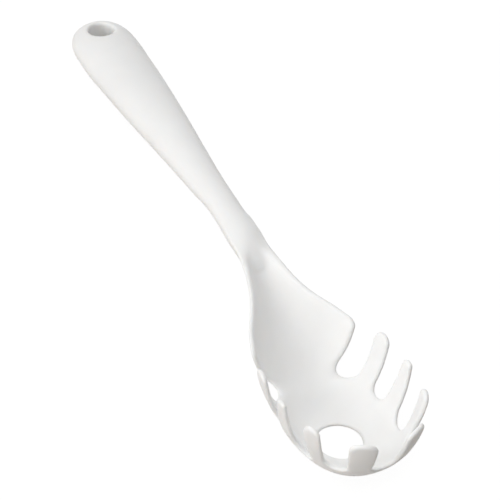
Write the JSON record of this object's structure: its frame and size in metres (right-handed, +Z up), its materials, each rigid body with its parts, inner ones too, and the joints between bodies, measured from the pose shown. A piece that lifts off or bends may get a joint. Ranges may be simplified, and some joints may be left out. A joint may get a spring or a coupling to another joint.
{
  "type": "pasta server",
  "caption": "Seamless one-piece-look pasta server: toothed oval bowl with a drain hole, open neck trough and a tapering round handle with a hanging hole.",
  "frame": {"origin": "bottom centre of the whole tool as it lies on a table", "axes": "+X across the bowl, +Y from the bowl's front along to the handle's end, +Z up out of the open bowl"},
  "size_m": [0.0629, 0.293, 0.0464],
  "materials": {
    "silicone": "matt white silicone with a fine satin bloom",
    "nylon": "natural moulded nylon, hidden inside the skin"
  },
  "bodies": {
    "root": {"silicone_skin": "silicone", "nylon_core": "nylon"}
  },
  "joints": []
}
